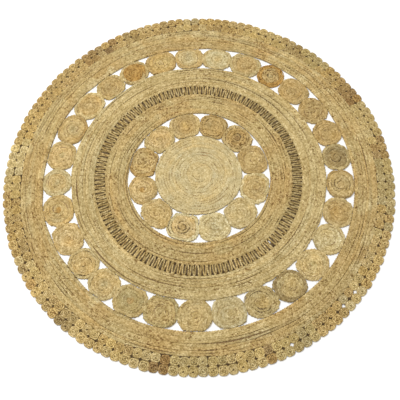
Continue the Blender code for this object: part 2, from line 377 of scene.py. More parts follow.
def juteMaterial(name, values):
    material, tree, surface = newMaterial(name, values)
    straight = shownAttribute(tree, "fibre", "Vector")
    parts = partsOf(tree, straight)
    turned = calc(tree, "MULTIPLY", parts["X"], values["twist"])
    fibre = addNode(tree, "ShaderNodeVectorRotate", {
        "Vector": straight, "Angle": turned}, {"rotation_type": "X_AXIS"})
    stretched = addNode(tree, "ShaderNodeMapping", {
        "Vector": fibre, "Scale": (values["streakStretch"], 1.0, 1.0)})
    streak = noiseOf(tree, stretched, values["streakScale"], *values["streakDetail"])
    patch = noiseOf(tree, straight, values["patchScale"], values["detail"])
    fleckSpace = addNode(tree, "ShaderNodeMapping", {
        "Vector": fibre, "Location": values["fleckPlace"], "Scale": values["fleckShape"]})
    fleck = noiseOf(tree, fleckSpace, values["fleckScale"], values["detail"])

    # strength of the tone: fibres side by side, slow patches, and painted shade in the groove between two
    # plies
    toneAndShade = calc(tree, "MULTIPLY_ADD", calc(tree, "SUBTRACT", streak, 0.5), 2 * values["streakDepth"], 1.0)
    slow = calc(tree, "MULTIPLY_ADD", calc(tree, "SUBTRACT", patch, 0.5), 2 * values["patchDepth"], 1.0)
    toneAndShade = calc(tree, "MULTIPLY", toneAndShade, slow)
    height = streak
    if values["plyGrooveShade"]:
        # painted shade in the groove between two plies; the same groove also goes into the bump
        groove = calc(tree, "ADD", calc(tree, "ARCTAN2", parts["Z"], parts["Y"]), turned)
        groove = calc(tree, "ABSOLUTE", calc(tree, "SINE", groove))
        groove = calc(tree, "POWER", groove, values["plyBreadth"])
        grooveShade = calc(tree, "MULTIPLY_ADD", groove, values["plyGrooveShade"], 1 - values["plyGrooveShade"])
        toneAndShade = calc(tree, "MULTIPLY", toneAndShade, grooveShade)
        height = calc(tree, "MULTIPLY_ADD", groove, values["plyHeight"], streak)
    if "flankShade" in values:
        # painted shade: the sides and underside of a stroke are darker than its top
        darkest = 1 - values["flankShade"]
        top = mapped(tree, parts["Z"], values["flankFrom"], values["flankTo"], darkest, 1.0)
        toneAndShade = calc(tree, "MULTIPLY", toneAndShade, top)
    # darker fibres are browner, paler ones greyer
    toneAndShade = calc(tree, "MAXIMUM", toneAndShade, values["darkest"])
    strength = vectorOf(tree, *(calc(tree, "POWER", toneAndShade, power) for power in values["warming"]))
    shaded = vectorCalc(tree, "MULTIPLY", {0: shownAttribute(tree, "tone", "Color"), 1: strength})
    darkness = mapped(tree, fleck, values["fleckFrom"], values["fleckTo"], 0.0, values["fleckDepth"])
    darkness = calc(tree, "MULTIPLY", darkness, shownAttribute(tree, "flecks", "Fac"))
    # the mix node's factor, its two colours, and its colour output
    coloured = addNode(tree, "ShaderNodeMix", {0: darkness, 6: shaded, 7: (*values["fleckTone"], 1.0)},
                       {"data_type": "RGBA", "blend_type": "MULTIPLY"}, 2)
    tree.links.new(coloured, surface["Base Color"])
    addBump(tree, surface, values, height)
    return material


plaitJute = juteMaterial("plaited jute", yarn)
discJute = juteMaterial("pale plaited jute", discYarn)
cordJute = juteMaterial("corded jute", cordYarn)
zigzagJute = juteMaterial("zigzag jute", zigzagYarn)

# one strand of yarn or cord: a tube along a path, with its fibre coordinates

strandMake = {
    "restHeight": 0.0002,     # the lowest that a strand lies over the floor
    "seedApart": 3.7,         # so that no two strands have the same fibres
    "strandApart": 1.31,
    "lumps": 60.0,            # thick and thin places, per metre
    "lumpsApart": 7.3,
    "lumpSize": 4.0,          # of the piece's own unevenness
}


def strandProfile(tree, sides, width, height):
    ring = addNode(tree, "GeometryNodeCurvePrimitiveCircle", {
        "Resolution": sides, "Radius": 0.5}, {"mode": "RADIUS"})
    ring = addNode(tree, "GeometryNodeTransform", {"Geometry": ring, "Rotation": (0.0, 0.0, math.pi / 2)})
    ring = addNode(tree, "GeometryNodeTransform", {
        "Geometry": ring, "Scale": vectorOf(tree, width, height, 1.0)})
    return storeAttribute(tree, ring, "spot", "FLOAT_VECTOR", addNode(tree, "GeometryNodeInputPosition"))


def strandTube(tree, run, profile, scale, seed, strand):
    run = addNode(tree, "GeometryNodeSetCurveNormal", {"Curve": run}, {"mode": "Z_UP"})
    tube = addNode(tree, "GeometryNodeCurveToMesh", {
        "Curve": run, "Profile Curve": profile, "Scale": scale, "Fill Caps": True})
    across = partsOf(tree, readAttribute(tree, "spot", "FLOAT_VECTOR"))
    along = calc(tree, "MULTIPLY", seed, strandMake["seedApart"])
    along = calc(tree, "ADD", readAttribute(tree, "along"), along)
    along = calc(tree, "ADD", along, strandMake["strandApart"] * strand)
    fibre = vectorOf(tree, along, across["X"], across["Y"])
    return storeAttribute(tree, tube, "fibre", "FLOAT_VECTOR", fibre)


def swelling(tree, along, seed, strand, unevenness):
    # how much thicker or thinner the yarn is here
    where = calc(tree, "MULTIPLY_ADD", along, strandMake["lumps"], seed)
    where = calc(tree, "ADD", where, strandMake["lumpsApart"] * strand)
    rough = addNode(tree, "ShaderNodeTexNoise", {
        "W": where, "Scale": 1.0, "Detail": 1.0}, {"noise_dimensions": "1D"})
    swell = calc(tree, "MULTIPLY", calc(tree, "SUBTRACT", rough, 0.5), unevenness)
    return calc(tree, "MULTIPLY_ADD", swell, strandMake["lumpSize"], 1.0)


def finishTree(tree, geometry, material):
    whole = addNode(tree, "GeometryNodeSetShadeSmooth", {"Geometry": geometry})
    whole = addNode(tree, "GeometryNodeRealizeInstances", {"Geometry": whole})
    # pressed flat where it lies on the floor
    parts = partsOf(tree, addNode(tree, "GeometryNodeInputPosition"))
    height = calc(tree, "MAXIMUM", parts["Z"], strandMake["restHeight"])
    whole = addNode(tree, "GeometryNodeSetPosition", {
        "Geometry": whole, "Position": vectorOf(tree, parts["X"], parts["Y"], height)})
    whole = addNode(tree, "GeometryNodeSetMaterial", {"Geometry": whole, "Material": material})
    tree.links.new(whole, tree.nodes.new("NodeGroupOutput").inputs[0])
    return tree


# the three-strand plait

plait = {
    "stepsInRound": 6,        # points in one full weave of a strand
    "step": 0.0050,           # between two of those points
    "strandWidth": 0.0064,
    "strandHeight": 0.0054,
    "phase": math.pi / 6,     # so that points fall on a strand's outermost places
    "swing": 0.0033,          # sideways reach of a strand's middle
    "lift": 0.0020,           # height of a strand's middle at a crossing
    "seat": 0.0050,           # height of the braid's middle
    "fullBreadth": 0.0110,    # of the whole braid, which the sizes above belong to
    "leastShare": 0.25,       # of a strand's thickness, where the braid is narrowest
    "sides": 5,
    "unevenness": 0.10,
}


def plaitTree(values):
    tree, given = newTree("plait on a path", values, (
        "step", "strandWidth", "strandHeight", "swing", "lift", "fullBreadth", "unevenness", "seed"))
    path = addNode(tree, "GeometryNodeMeshToCurve", {"Mesh": given["geometry"]})
    path = addNode(tree, "GeometryNodeResampleCurve", {
        "Curve": path, "Length": given["step"]}, {"mode": "LENGTH"})
    along = addNode(tree, "GeometryNodeSplineParameter", output="Length")
    path = storeAttribute(tree, path, "along", "FLOAT", along)
    index = addNode(tree, "GeometryNodeInputIndex")
    tangent = addNode(tree, "GeometryNodeInputTangent")
    side = vectorCalc(tree, "CROSS_PRODUCT", {0: tangent, 1: (0.0, 0.0, 1.0)})
    share = calc(tree, "DIVIDE", readAttribute(tree, "breadth"), given["fullBreadth"])
    profile = strandProfile(tree, values["sides"], given["strandWidth"], given["strandHeight"])
    tubes = []
    for strand in range(3):
        phase = calc(tree, "MULTIPLY_ADD", index, fullTurn / values["stepsInRound"],
                     strand * fullTurn / 3 + values["phase"])
        sideways = calc(tree, "MULTIPLY", calc(tree, "SINE", phase), given["swing"])
        sideways = calc(tree, "MULTIPLY", sideways, share)
        upward = calc(tree, "SINE", calc(tree, "MULTIPLY", phase, 2.0))
        upward = calc(tree, "MULTIPLY", upward, given["lift"])
        across = vectorCalc(tree, "SCALE", {0: side, "Scale": sideways})
        offset = vectorCalc(tree, "ADD", {0: across, 1: vectorOf(tree, 0.0, 0.0, upward)})
        run = addNode(tree, "GeometryNodeSetPosition", {"Geometry": path, "Offset": offset})
        swell = swelling(tree, along, given["seed"], strand, given["unevenness"])
        thick = calc(tree, "MULTIPLY", swell, calc(tree, "MAXIMUM", share, values["leastShare"]))
        tubes.append(strandTube(tree, run, profile, thick, given["seed"], strand))
    joined = addNode(tree, "GeometryNodeJoinGeometry", {0: tubes})
    return finishTree(tree, joined, given["material"])


braidTree = plaitTree(plait)


def braidPiece(node, rows, seed):
    piece = pathObject(node + "_plait", rows, plait["seat"])
    runTree(piece, braidTree, dict(plait, seed=float(seed)), discJute if "disc" in node else plaitJute)
    sewIn(piece, node)


# the yarn's own mix, which drifts along its length so that neighbouring turns differ

yarnMix = {                   # how much, over what length of yarn, and layer of the noise
    "slowDrift": (1.0, 0.55, 0.5),
    "quickDrift": (0.6, 0.12, 3.5),
    "warmth": (1.0, 0.35, 7.5),
    "redder": 0.05,           # share of the red that a warm place gains
    "yellower": 0.09,         # share of the blue that it loses
    "lane": 3.1,              # of the noise, from one braid to the next
}


def warmed(tone, warm, yellower):
    return Vector((tone.x * (1 + yarnMix["redder"] * warm), tone.y, tone.z * (1 - yellower * warm)))


def driftingTones(rows, toneOf, seed, reach):
    length = 0.0
    last = rows[0]["point"]
    lane = seed * yarnMix["lane"]
    for row in rows:
        length += (row["point"] - last).length
        last = row["point"]
        drift = changeAlong(length, lane, *yarnMix["slowDrift"])
        drift += changeAlong(length, lane, *yarnMix["quickDrift"])
        warm = changeAlong(length, lane, *yarnMix["warmth"])
        row["tone"] = warmed(toneOf(row) * (1 + reach * drift), warm, yarnMix["yellower"])


def blotchAt(point, breadth, layer):
    spot = point / breadth
    return noise.noise((spot.x, spot.y, layer))


# centre disc and coils

disc = {
    "turns": 15,
    "step": 0.6,              # share of a turn in which the braid steps out
    "fullness": 1.17,         # of the braid in the breadth that a turn has
    "drift": 0.05,            # how far the yarn's own mix drifts
    "shade": 1.0,
}
coil = {
    "turns": 5,
    "step": 0.45,
    "fullness": 1.16,
    "drift": 0.07,
    "shade": 0.97,
}
pads = {                      # for the disc and the coils alike
    "roundShare": 0.45,       # of a pad, which is wound round before it takes its outline
    "edgeInset": 0.0003,      # the strands bulge this far past the edge of their turn
    "cornerInset": 0.0031,    # the same where a coil meets no neighbour, which leaves it rounder
    "cornerShares": {         # of that inset: from and to (degrees round the rug), share
        "outer": [(60, 150, 1.5), (-150, -90, 0.6)],
        "inner": [(0, 90, 0.35), (-120, -60, 0.5), (-180, -120, 1.5)],
    },
    "looseness": 0.40,        # how much narrower the braid is where turns lie apart
    "looseReach": 0.05,       # share of the pad on either side that it narrows over
    "flecks": 0.45,
    "heart": (0.12, 0.16),    # shares of the pad where the heart's tone starts to change, and over which
    "rimStart": 0.7,          # the same for the rim's
    "rimFade": 0.08,
    "blotch": 0.10,           # blotches that lie across the turns
    "blotchBreadth": 0.035,
    "yellower": 0.10,
    "layer": 1.3,             # of the noise, from one pad to the next
    "warmLayer": 9,
}
# tones of the heart, the body and the rim, and the share where the rim starts
discTones = ("cream", "cream", "cream")
innerCoilTones = [
    ("gold", "honey", "wheat", 0.75), ("honey", "honey", "caramel", 0.78),
    ("rust", "caramel", "wheat", 0.75), ("wheat", "wheat", "honey", 0.6),
    ("honey", "wheat", "pale"), ("straw", "straw", "straw"),
    ("pale", "pale", "pale"), ("honey", "corn", "pale"), ("wheat", "wheat", "wheat"),
    ("amber", "corn", "honey"), ("honey", "wheat", "caramel"), ("wheat", "corn", "sand"),
]
outerCoilTones = [
    ("straw", "straw", "wheat"), ("straw", "pale", "straw"), ("honey", "honey", "sand"),
    ("sand", "honey", "amber", 0.62), ("caramel", "honey", "honey"), ("caramel", "honey", "honey"),
    ("honey", "honey", "honey"), ("umber", "umber", "sand"), ("honey", "wheat", "caramel", 0.82),
    ("honey", "honey", "wheat"), ("straw", "pale", "straw"), ("olive", "straw", "wheat"),
    ("sand", "sand", "umber"), ("sand", "sand", "sand"), ("sand", "straw", "cream"),
    ("sand", "straw", "sand"), ("sand", "sand", "olive", 0.75), ("caramel", "olive", "sand"),
    ("sand", "wheat", "straw"), ("honey", "wheat", "straw"), ("honey", "corn", "wheat"),
    ("amber", "wheat", "wheat"), ("straw", "wheat", "straw", 0.6), ("straw", "corn", "wheat"),
    ("sand", "wheat", "caramel", 0.75), ("corn", "honey", "straw"), ("honey", "honey", "sand"),
    ("amber", "amber", "wheat"), ("wheat", "gold", "honey"),
]
looseTurns = {                # shares of a coil where its turns lie apart
    "inner_coil_02": (0.93,), "inner_coil_03": (0.2, 0.4), "inner_coil_08": (0.2, 0.4, 0.82),
    "outer_coil_04": (0.60, 0.93), "outer_coil_08": (0.78,), "outer_coil_09": (0.58, 0.93),
    "outer_coil_14": (0.82,), "outer_coil_20": (0.78,), "outer_coil_28": (0.55,),
}
fleckedCoils = {
    "inner_coil_03": 1.2, "inner_coil_07": 0.3, "inner_coil_11": 1.1, "outer_coil_04": 1.2,
    "outer_coil_06": 1.0, "outer_coil_13": 0.8, "outer_coil_14": 0.9, "outer_coil_17": 1.0,
    "outer_coil_28": 0.9,
}


def padTone(row, seed, shade, heart, body, rim, rimStart=pads["rimStart"]):
    share = row["share"]
    heartStart, heartFade = pads["heart"]
    tone = mixTone(linearTones[heart], linearTones[body], eased((share - heartStart) / heartFade))
    tone = mixTone(tone, linearTones[rim], eased((share - rimStart) / pads["rimFade"]))
    layer = seed * pads["layer"]
    blotch = blotchAt(row["point"], pads["blotchBreadth"], layer)
    warm = blotchAt(row["point"], pads["blotchBreadth"], layer + pads["warmLayer"])
    return warmed(tone * (1 + pads["blotch"] * blotch) * shade, warm, pads["yellower"])


def windingPlan(node):
    # round at the heart, and shaped like the solid's edge at the rim
    centre, edge = padPlan(node)
    facing = math.atan2(centre.y, centre.x)
    corner = pads["cornerInset"] if "coil" in node else 0.0
    for low, high, share in pads["cornerShares"].get(node.split("_")[0], ()):
        if low <= math.degrees(facing) < high:
            corner *= share
    usual = sum(radius for _, radius in edge.spots) / len(edge.spots)

    def place(angle, share):
        squeezed = eased((share - pads["roundShare"]) / (1 - pads["roundShare"]))
        inset = pads["edgeInset"] + squeezed * corner * math.sin(2 * (angle - facing)) ** 2
        return centre + spotAt(share * (mixTone(usual, edge.radius(angle), squeezed) - inset), angle)
    return place


def buildPad(node, values, words, seed):
    seams = looseTurns.get(node, ())

    def looseAt(angle, share):
        apart = sum(math.exp(-((share - at) / pads["looseReach"]) ** 2) for at in seams)
        return pads["looseness"] * min(apart, 1.0), 0.0
    chance = random.Random(seed)
    hand = chance.choice((-1, 1))
    rows = windBraid(windingPlan(node), values, chance.random(), hand, looseAt)
    for row in rows:
        row["flecks"] = fleckedCoils.get(node, pads["flecks"])
    driftingTones(rows, lambda row: padTone(row, seed, values["shade"], *words), seed, values["drift"])
    braidPiece(node, rows, seed)


buildPad("centre_disc", disc, discTones, 1)
for ring, firstSeed, coilTones in (("inner", 21, innerCoilTones), ("outer", 51, outerCoilTones)):
    for number, words in enumerate(coilTones):
        buildPad(f"{ring}_coil_{number + 1:02d}", coil, words, firstSeed + number)

# bands

band = {
    "turns": 8,
    "step": 0.25,
    "fullness": 1.17,
    "looseness": 0.21,        # how much narrower the braid is where turns lie apart
    "looseReach": 0.8,        # turns on either side that it narrows over
    "moveReach": 0.35,        # turns over which it changes the side that it moves to
    "seamFade": 3,            # degrees at the ends of a seam
    "blotchBreadth": 0.11,    # of the blotches that the second tone makes in the first
    "blotchShare": 0.5,       # of the rug that they take
    "blotchEdge": 1.2,        # how sharp they are
    "blotchLayer": 1.7,       # of the noise, from one band to the next
    "thirdBreadth": 0.0579,   # of the third tone's
    "thirdFrom": 0.15,
    "thirdFade": 0.3,
    "thirdLayer": 5,
    "fleckBreadth": 0.05,
    "fleckSpread": 1.2,
    "fleckLayer": 2.3,
    "fleckLimits": (0.1, 1.5),
}
bands = {
    # where the first turn starts, seed, tones, drift, flecks, and the seams where turns lie apart:
    # turns from the inside edge, from and to (degrees)
    "inner_band": (0.40, 101, ("sand", "honey", "sand"), 0.09, 0.95, []),
    "middle_band": (0.80, 102, ("sand", "straw", "sand"), 0.10, 0.70, []),
    "outer_band": (0.10, 103, ("sand", "honey", "straw"), 0.13, 1.00, [
        (4, -93, -64), (6, -91, -84), (6, -32, -16), (4, -60, -53),
        (5, 72, 88), (6, 111, 117), (5, 162, 170)]),
}


def bandPlan(node):
    inside, outside = ringEdges(node)
    return lambda angle, share: spotAt(mixTone(inside.radius(angle), outside.radius(angle), share), angle)


def bandTone(row, seed, first, second, third):
    layer = seed * band["blotchLayer"]
    blotch = blotchAt(row["point"], band["blotchBreadth"], layer)
    tone = mixTone(linearTones[first], linearTones[second],
                   eased(band["blotchShare"] + band["blotchEdge"] * blotch))
    other = blotchAt(row["point"], band["thirdBreadth"], layer + band["thirdLayer"])
    return mixTone(tone, linearTones[third], eased((other - band["thirdFrom"]) / band["thirdFade"]))


def buildBand(node, startTurn, seed, words, drift, flecks, seams):
    def looseAt(angle, share):
        apart, moved = 0.0, 0.0
        for at, low, high in seams:
            past = share * band["turns"] - at
            near = math.exp(-(past / band["looseReach"]) ** 2)
            near *= within(degreesOf(angle), low, high, band["seamFade"])
            apart += near
            moved += near * min(max(past / band["moveReach"], -1.0), 1.0)
        return band["looseness"] * min(apart, 1.0), band["looseness"] / 2 * moved
    rows = windBraid(bandPlan(node), band, startTurn, 1, looseAt)
    least, most = band["fleckLimits"]
    layer = seed * band["fleckLayer"]
    for row in rows:
        spread = band["fleckSpread"] * blotchAt(row["point"], band["fleckBreadth"], layer)
        row["flecks"] = min(max(flecks + spread, least), most)
    driftingTones(rows, lambda row: bandTone(row, seed, *words), seed, drift)
    braidPiece(node, rows, seed)


for node, look in bands.items():
    buildBand(node, *look)
print("bands wound")

# cord on a path: the zigzag and the scrolls

zigzag = {
    "draw": 9,                # seed of its random sizes and tones
    "strokePairs": 130,
    "cordWidth": 0.0066,
    "cordHeight": 0.0084,
    "sides": 6,
    "unevenness": 0.10,
    "seat": 0.0048,           # height of the cord's middle
    "seed": 4.0,              # of its fibres
    "turnInset": 0.0014,      # how far a turn's middle stays from the band's edge
    "turnRadius": 0.0034,
    "pinch": 0.13,            # how much closer two strokes lie at the turn that joins them
    "turnPoints": 5,
    "strokePoints": 5,
    "jitter": 0.15,           # of the distance between two strokes
    "lean": 0.22,
    "openAt": -47.5,          # degrees: where two strokes lie apart
    "openBy": 0.40,
    "openReach": 3,           # strokes on either side that give way
    "browner": (-32, 62, 8),  # degrees from and to, and over how many it fades
    "brown": 0.84,            # of the usual brightness
    "tones": ("cream", "wheat", "sand"),
    "sandShare": 0.3,         # of the strokes, which have the third tone mixed in
    "sandMix": 0.7,
    "shade": 1.12,
    "toneSpread": 0.08,
    "thickSpread": 0.10,
}


def cordTree(values):
    tree, given = newTree("cord on a path", values, ("cordWidth", "cordHeight", "unevenness", "seed"))
    path = addNode(tree, "GeometryNodeMeshToCurve", {"Mesh": given["geometry"]})
    along = addNode(tree, "GeometryNodeSplineParameter", output="Length")
    path = storeAttribute(tree, path, "along", "FLOAT", along)
    profile = strandProfile(tree, values["sides"], given["cordWidth"], given["cordHeight"])
    swell = swelling(tree, along, given["seed"], 0, given["unevenness"])
    swell = calc(tree, "MULTIPLY", swell, readAttribute(tree, "breadth"))
    return finishTree(tree, strandTube(tree, path, profile, swell, given["seed"], 0), given["material"])


def strokeAngles(values, chance, strokes, step):
    angles = [step * (number + values["jitter"] * chance.uniform(-1, 1)) for number in range(strokes)]
    openAt = math.radians(values["openAt"]) % fullTurn
    return [angle + math.copysign(values["openBy"] * step, angle - openAt)
            * math.exp(-((angle - openAt) / (values["openReach"] * step)) ** 2) for angle in angles]


def buildZigzag(node, values):
    # strokes across the band, joined by round turns at alternate edges
    chance = random.Random(values["draw"])
    insideEdge = ringEdges("inner_band")[1]
    outsideEdge = ringEdges("middle_band")[0]
    strokes = 2 * values["strokePairs"]
    step = fullTurn / strokes
    angles = strokeAngles(values, chance, strokes, step)
    first, second, third = (linearTones[word] for word in values["tones"])
    margin = values["turnInset"] + values["turnRadius"]
    rows = []
    for number in range(strokes):
        here, following = angles[number], angles[(number + 1) % strokes]
        if following < here:
            following += fullTurn
        into = 1 if number % 2 == 0 else -1
        inner = insideEdge.radius(here) + margin
        outer = outsideEdge.radius(here) - margin
        tone = mixTone(first, second, chance.random()) * values["shade"]
        if chance.random() < values["sandShare"]:
            tone = mixTone(tone, third, values["sandMix"])
        tone = tone * (1 + (values["brown"] - 1) * within(degreesOf(here), *values["browner"]))
        tone = tone * (1 + values["toneSpread"] * chance.uniform(-1, 1))
        thick = 1 + values["thickSpread"] * chance.uniform(-1, 1)
        lean = values["lean"] * chance.uniform(-1, 1) * step
        line = []
        for point in range(values["strokePoints"]):
            share = point / (values["strokePoints"] - 1)
            share = share if into > 0 else 1 - share
            pinch = values["pinch"] * step * (2 * share - 1) * into
            line.append((mixTone(inner, outer, share), here + pinch + lean * math.sin(math.pi * share)))
        middle = (here + following) / 2
        half = (following - here) / 2 - values["pinch"] * step
        for point in range(1, values["turnPoints"] + 1):
            turned = math.pi * point / (values["turnPoints"] + 1)
            radius = (outer if into > 0 else inner) + into * values["turnRadius"] * math.sin(turned)
            line.append((radius, middle - half * math.cos(turned)))
        rows += [{"point": spotAt(*place), "breadth": thick, "tone": tone} for place in line]
    rows.append(rows[0])
    piece = pathObject(node + "_line", rows, values["seat"])
    runTree(piece, cordTree(values), values, zigzagJute)
    sewIn(piece, node)


buildZigzag("zigzag_cord", zigzag)

scroll = {
    "draw": 17,
    "turns": 3.1,
    "points": 50,
    "cordWidth": 0.0062,
    "cordHeight": 0.0056,
    "sides": 6,
    "seat": 0.0042,           # height of the cord's middle at the rim
    "crown": 0.0012,          # how much higher the heart lies than the rim
    "outerRadius": 0.0134,
    "closing": 0.85,          # turns at the rim that are a plain ring
    "tuckParts": 10,          # of the cord, the last of which dives under the ring
    "tuckDepth": 0.0012,
    "tuckThinning": 0.55,
    "squareness": 8.0,        # 2 is round; the rows are pressed together
    "rimSquareness": 3.2,     # on the side that no neighbour presses
    "bandSquareness": 4.2,    # on the side that is sewn to the band
    "squareFade": (-0.2, 0.6),   # where across the scroll, -1 to 1, the one turns into the other
    "fill": 1.065,            # how far a scroll presses into its neighbours
    "sizeSpread": 0.03,
    "apart": 0.015,           # how much further the scrolls lie from an open pit
    "openReach": 0.024,       # how near to the pit such a scroll lies
    "openSquareness": 2.9,    # of those scrolls
    "tilt": 2.5,              # degrees
    "turnSpread": 0.12,       # radians
    "kinds": [                # hand, start (turns), radius of the heart's hole
        (1, 0.0, 0.0006), (-1, 0.3, 0.0008), (1, 0.55, 0.0006), (-1, 0.8, 0.0024),
    ],
    "openHearts": 0.14,       # share of the scrolls with a hole at the heart, the last kind
    "stray": 0.0007,          # how far a scroll's middle strays
    "press": 0.0007,          # how far the inner row presses into the band
    "toneStray": 1.5,         # degrees that a tone strays past its stretch
    "sandMix": (0.15, 0.35),  # sand in every scroll, and the most that it has besides
    "shade": 1.30,
    "toneSpread": 0.13,
    "tint": (0.97, 0.98, 0.99),
    "warmSpread": 0.055,
    "warmRed": 0.3,           # how much of that the red gains
    "fleckSpread": (0.6, 1.1),
    "flecked": ("honey", "gold", "caramel", "rust", "russet", "umber"),
    "fleckShares": (0.85, 1.4),   # of the other scrolls and of those
}
scrollTones = [
    # up to which angle (degrees, anticlockwise, 0 at the right), tone
    (-174, "sand"), (-162, "caramel"), (-157, "honey"), (-152, "caramel"), (-148, "straw"),
    (-145, "orange"), (-140, "wheat"), (-134, "honey"), (-129, "umber"), (-124, "wheat"), (-119, "gold"),
    (-114, "sand"), (-110, "honey"), (-104, "sand"), (-98.5, "russet"), (-84, "olive"), (-72, "sand"),
    (-68, "rust"), (-56, "olive"), (-46, "honey"), (-38, "cream"), (-31, "gold"), (-25, "wheat"),
    (-20, "honey"), (-17, "grey"), (-14, "caramel"), (-9, "grey"), (4, "olive"), (12, "rust"),
    (26, "sand"), (29, "russet"), (34, "rust"), (40, "caramel"), (50, "olive"), (60, "umber"),
    (72, "sand"), (80, "honey"), (90, "caramel"), (96, "sand"), (102, "caramel"), (111, "honey"),
    (115, "umber"), (119, "honey"), (123, "russet"), (126, "honey"), (130, "rust"), (157, "honey"),
    (166, "gold"), (180, "pale"),
]


def scrollLine(tree, given, values, kind, row, share):
    # one scroll's cord: a spiral pressed into a square with round corners, more so towards its rim;
    # row gives the side that lies free and its squareness, or nothing for a scroll at an open pit
    hand, start, heart = kind
    turn = calc(tree, "MULTIPLY", share, given["turns"])
    angle = calc(tree, "MULTIPLY_ADD", turn, hand * fullTurn, start * fullTurn)
    across, up = calc(tree, "COSINE", angle), calc(tree, "SINE", angle)
    opening = calc(tree, "SUBTRACT", given["turns"], given["closing"])
    reach = mapped(tree, turn, 0.0, opening, heart, given["outerRadius"])
    squareness = values["openSquareness"]
    if row:
        side, freeSquareness = row
        freeSide = calc(tree, "MULTIPLY", across, side)
        squareness = mapped(tree, freeSide, *values["squareFade"], given["squareness"], freeSquareness)
    bulge = calc(tree, "ADD", *(calc(tree, "POWER", calc(tree, "ABSOLUTE", part), squareness)
                                for part in (across, up)))
    bulge = calc(tree, "POWER", bulge, calc(tree, "DIVIDE", -1.0, squareness))
    outness = calc(tree, "DIVIDE", reach, given["outerRadius"])
    bulge = calc(tree, "MULTIPLY_ADD", calc(tree, "SUBTRACT", bulge, 1.0), outness, 1.0)
    radius = calc(tree, "MULTIPLY", reach, bulge)
    tuck = calc(tree, "MULTIPLY_ADD", share, values["tuckParts"], 1 - values["tuckParts"])
    tuck = calc(tree, "MAXIMUM", tuck, 0.0)
    height = calc(tree, "MULTIPLY", calc(tree, "SUBTRACT", 1.0, share), given["crown"])
    height = calc(tree, "SUBTRACT", height, calc(tree, "MULTIPLY", tuck, values["tuckDepth"]))
    x, y = (calc(tree, "MULTIPLY", radius, part) for part in (across, up))
    spot = vectorOf(tree, x, y, height)
    line = addNode(tree, "GeometryNodeCurvePrimitiveLine", {"End": (1.0, 0.0, 0.0)})
    line = addNode(tree, "GeometryNodeResampleCurve", {
        "Curve": line, "Count": values["points"]}, {"mode": "COUNT"})
    line = addNode(tree, "GeometryNodeSetPosition", {"Geometry": line, "Position": spot})
    along = addNode(tree, "GeometryNodeSplineParameter", output="Length")
    ends = calc(tree, "SUBTRACT", 1.0, calc(tree, "MULTIPLY", tuck, values["tuckThinning"]))
    return storeAttribute(tree, line, "along", "FLOAT", along), ends


def scrollTree(values):
    tree, given = newTree("scrolls on points", values, (
        "turns", "outerRadius", "closing", "crown", "squareness", "rimSquareness", "bandSquareness",
        "cordWidth", "cordHeight"))
    profile = strandProfile(tree, values["sides"], given["cordWidth"], given["cordHeight"])
    share = calc(tree, "DIVIDE", addNode(tree, "GeometryNodeInputIndex"), values["points"] - 1.0)
    # inner row first, then the same scrolls for the outer row, then the one that lies at an open pit
    rows = ((-1.0, given["bandSquareness"]), (1.0, given["rimSquareness"]))
    rowKinds = [(kind, row) for row in rows for kind in values["kinds"]]
    rowKinds.append((values["kinds"][0], None))
    laid = []
    for number, (kind, row) in enumerate(rowKinds):
        line, ends = scrollLine(tree, given, values, kind, row, share)
        tube = strandTube(tree, line, profile, ends, 0.0, number)
        wanted = {"A": readAttribute(tree, "kind"), "B": float(number)}
        chosen = addNode(tree, "FunctionNodeCompare", wanted, {"data_type": "FLOAT", "operation": "EQUAL"})
        lean = readAttribute(tree, "lean", "FLOAT_VECTOR")
        turned = addNode(tree, "FunctionNodeEulerToRotation", {0: lean})
        laid.append(addNode(tree, "GeometryNodeInstanceOnPoints", {
            "Points": given["geometry"], "Selection": chosen, "Instance": tube, "Rotation": turned,
            "Scale": readAttribute(tree, "size", "FLOAT_VECTOR")}))
    joined = addNode(tree, "GeometryNodeJoinGeometry", {0: laid})
    return finishTree(tree, joined, given["material"])


# painted shade: a dark sheet under the braids, its tones for the shade in the gaps between turns
shadeSheet = {
    "top": 0.0044,
    "padTop": 0.0060,
    "looseTop": 0.0038,       # under coils whose turns lie apart
    "borderTop": 0.0046,
    "ladderTop": 0.0036,      # under the zigzag
    "thickness": 0.0010,      # thin and at mid height, so the plaits show underneath too
    "padThickness": 0.0024,
    "inset": 0.0035,
    "borderUnder": 0.002,     # how far the border's part of the sheet reaches under the band
    "borderBreadth": 0.057,   # and outwards from there, to an end that the outer scrolls hide
    "borderRings": 4,
    "sides": 180,
    "padSides": 48,
    "nudge": 0.01,            # share of the way out, to find which way is outwards
    "flatFrom": 0.9,          # faces that count towards the area: how far up or down they point
    # painted shade: dark tones for the gaps between turns, darkest in the border's pits and where the
    # zigzag turns
    "tone": (0.190, 0.120, 0.052),
    "padTone": (0.280, 0.190, 0.085),
    "looseShade": (0.170, 0.118, 0.060),
    "borderShade": (0.068, 0.042, 0.018),
    "ladderShade": (0.125, 0.087, 0.044),
    "pitShade": (0.058, 0.036, 0.016),
    "openSlot": (0.257, -0.281),      # where the floor shows between two strokes of the zigzag
    "slotBreadth": 0.012,
    "openPits": [(0.550, -0.469), (0.507, -0.512), (0.291, -0.646)],   # the same between four scrolls
    "pitBreadth": 0.018,
    "grainScale": 260.0,
    "grain": (0.3, 0.7, 0.45, 1.6),   # of the noise, from and to, and the shades that they get
    "roughness": 0.92,
    "specular": 0.2,
    "bumpDistance": 0.001,
    "bumpStrength": 0.6,
}


def crownsOf(node):
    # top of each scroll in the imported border
    return [Vector(point) for point in plainPoints(node, max(v.co.z for v in packed[node].data.vertices))]


def openPits(crowns):
    # each between the four scrolls nearest to it
    pits = []
    for place in shadeSheet["openPits"]:
        near = sorted(crowns, key=lambda point: (point - Vector(place)).length)[:4]
        pits.append(sum(near, Vector((0, 0))) / 4)
    return pits


